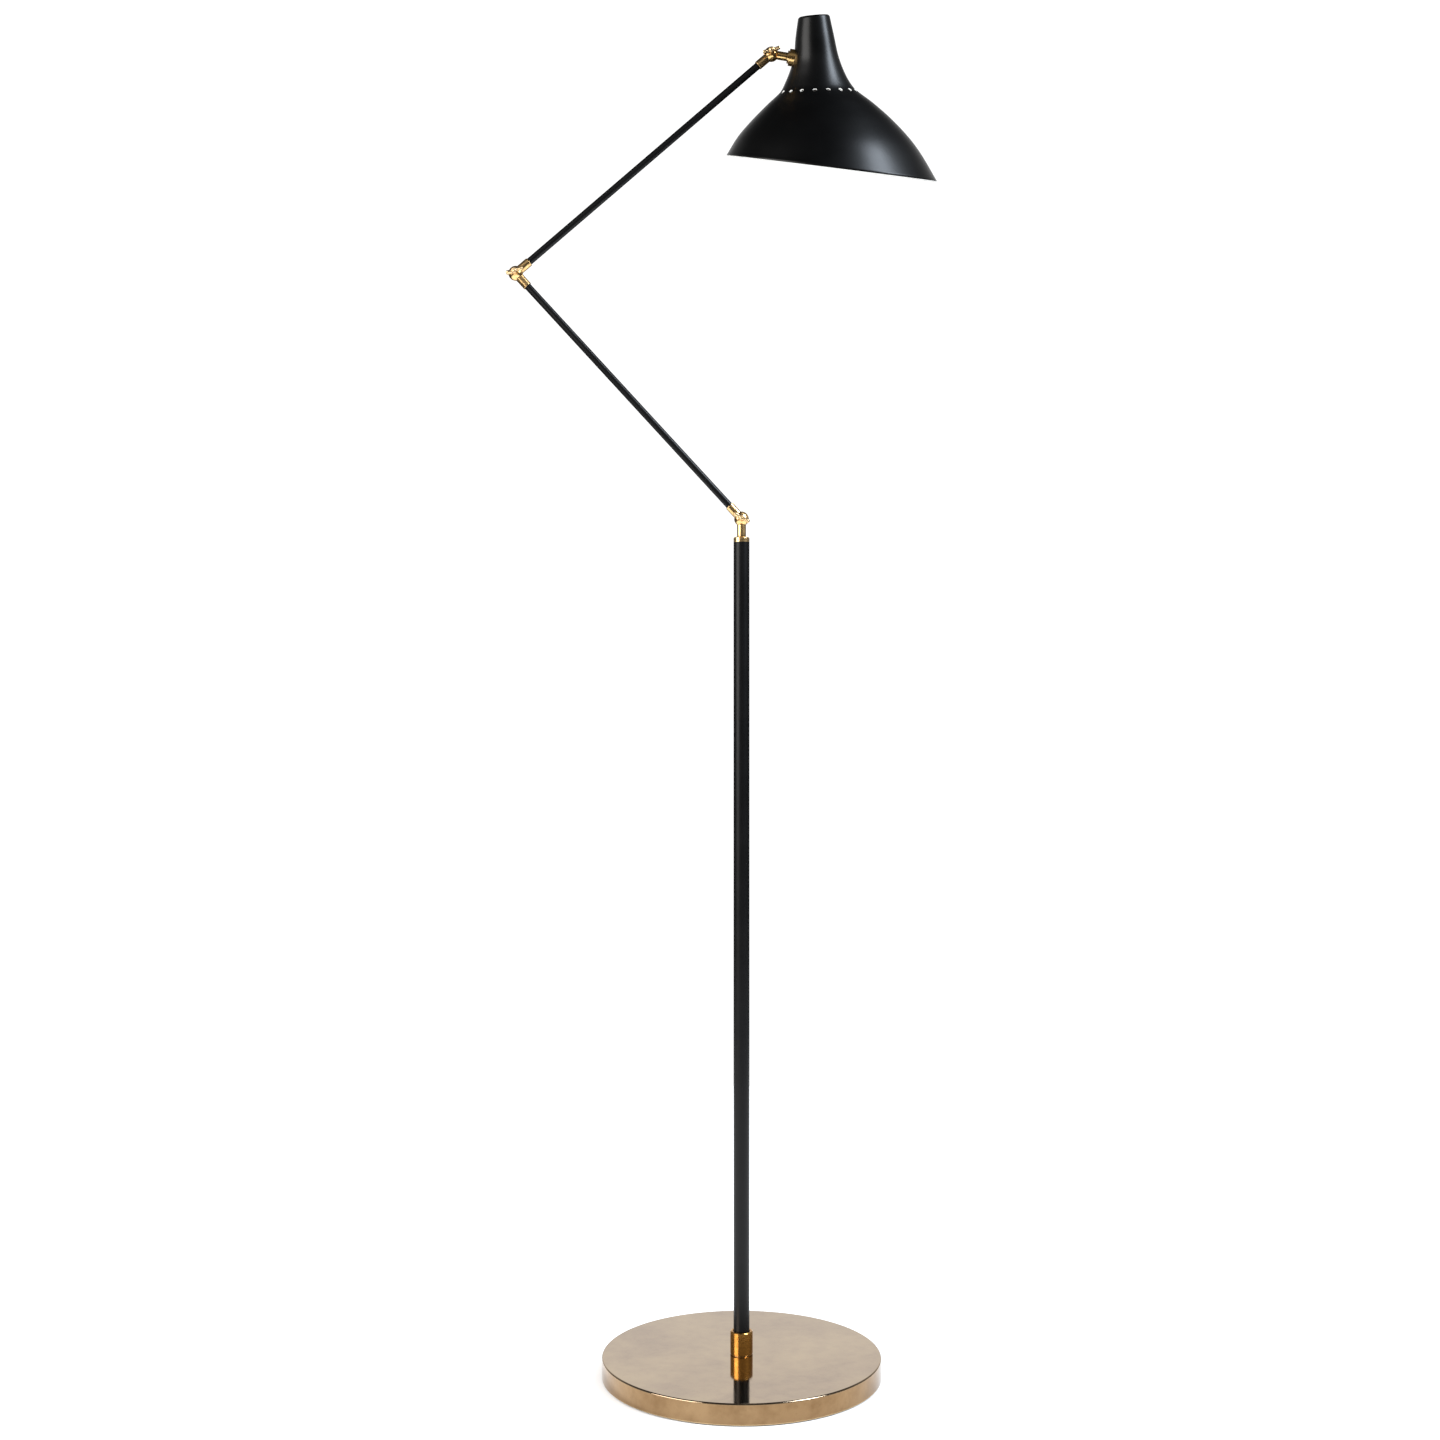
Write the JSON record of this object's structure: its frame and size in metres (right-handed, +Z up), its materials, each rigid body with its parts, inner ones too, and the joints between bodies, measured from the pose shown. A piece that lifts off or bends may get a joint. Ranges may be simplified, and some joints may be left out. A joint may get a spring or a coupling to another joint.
{
  "type": "adjustable floor lamp",
  "caption": "Floor lamp with a heavy round base, a slim pole and a folding pair of arms that carries a tilting, swivelling bell shade on clamped knuckles.",
  "frame": {"origin": "centre of the base's underside, on the floor and on the pole's axis", "axes": "+Z up along the pole; the arms fold in the XZ plane and the shade hangs on the +X side; the wing screws face -Y, the front"},
  "size_m": [0.4348, 0.2812, 1.3644],
  "materials": {
    "aged_brass": "hand-rubbed antique brass, satin",
    "bright_brass": "bright rolled brass",
    "satin_black": "satin black enamel",
    "shade_black": "satin black enamel outside, white enamel inside",
    "cast_iron": "rough casting",
    "zinc_steel": "zinc plated",
    "spring_steel": "phosphated spring steel",
    "felt": "pressed felt",
    "fibre": "vulcanised fibre",
    "black_nylon": "moulded nylon",
    "phenolic": "moulded phenolic",
    "lead_jacket": "jacketed flexible lead"
  },
  "bodies": {
    "base": {"base_cover": "aged_brass", "base_weight": "cast_iron", "base_pad": "felt", "base_nipple": "zinc_steel", "base_washer": "zinc_steel", "base_nut": "zinc_steel", "cord_bushing": "black_nylon", "foot_sleeve": "aged_brass", "pole_foot_plug": "zinc_steel", "pole_tube": "satin_black", "pole_ferrule": "aged_brass", "pole_lead": "lead_jacket"},
    "mast": {"mast_swivel": "aged_brass", "swivel_circlip": "spring_steel", "shoulder_washer": "fibre"},
    "lower_arm": {"lower_arm_shoulder_socket": "aged_brass", "lower_arm_tube": "satin_black", "lower_arm_elbow_socket": "aged_brass", "lower_arm_lead": "lead_jacket", "elbow_washer": "fibre"},
    "upper_arm": {"upper_arm_elbow_socket": "aged_brass", "upper_arm_tube": "satin_black", "upper_arm_head_socket": "aged_brass", "upper_arm_lead": "lead_jacket", "head_washer": "fibre"},
    "head": {"head_stub": "aged_brass", "stub_circlip": "spring_steel"},
    "shade": {"shade_shell": "shade_black", "shade_bush": "aged_brass", "inner_saddle": "zinc_steel", "holder_bracket": "zinc_steel", "shade_lock_nut": "zinc_steel", "lamp_holder": "phenolic", "holder_shell": "bright_brass", "holder_contact": "bright_brass", "holder_screws": "zinc_steel", "shade_lead": "lead_jacket"},
    "shoulder_screw": {"shoulder_wing_screw": "aged_brass"},
    "elbow_screw": {"elbow_wing_screw": "aged_brass"},
    "head_screw": {"head_wing_screw": "aged_brass"}
  },
  "joints": [
    {"name": "arm_swivel", "type": "hinge", "parent": "base", "child": "mast", "pos_m": [0, 0, 0.8597], "axis": [0, 0, 1], "range_deg": [-170, 170]},
    {"name": "shoulder", "type": "hinge", "parent": "mast", "child": "lower_arm", "pos_m": [0, 0, 0.8597], "axis": [0, 1, 0], "range_deg": [-60, 60]},
    {"name": "elbow", "type": "hinge", "parent": "lower_arm", "child": "upper_arm", "pos_m": [-0.22675, 0, 1.10629], "axis": [0, 1, 0], "range_deg": [-92, 11]},
    {"name": "head_tilt", "type": "hinge", "parent": "upper_arm", "child": "head", "pos_m": [0.02988, 0, 1.32625], "axis": [0, 1, 0], "range_deg": [-90, 18]},
    {"name": "shade_swivel", "type": "hinge", "parent": "head", "child": "shade", "pos_m": [0.05178, 0, 1.32259], "axis": [0.9863, 0, -0.165], "range_deg": [-106.2, 73.8]},
    {"name": "shoulder_screw_turn", "type": "hinge", "parent": "mast", "child": "shoulder_screw", "pos_m": [0, 0, 0.8597], "axis": [0, -1, 0], "range_deg": [0, 360]},
    {"name": "elbow_screw_turn", "type": "hinge", "parent": "lower_arm", "child": "elbow_screw", "pos_m": [-0.22675, 0, 1.10629], "axis": [0, -1, 0], "range_deg": [0, 360]},
    {"name": "head_screw_turn", "type": "hinge", "parent": "upper_arm", "child": "head_screw", "pos_m": [0.02988, 0, 1.32625], "axis": [0, -1, 0], "range_deg": [0, 360]}
  ]
}
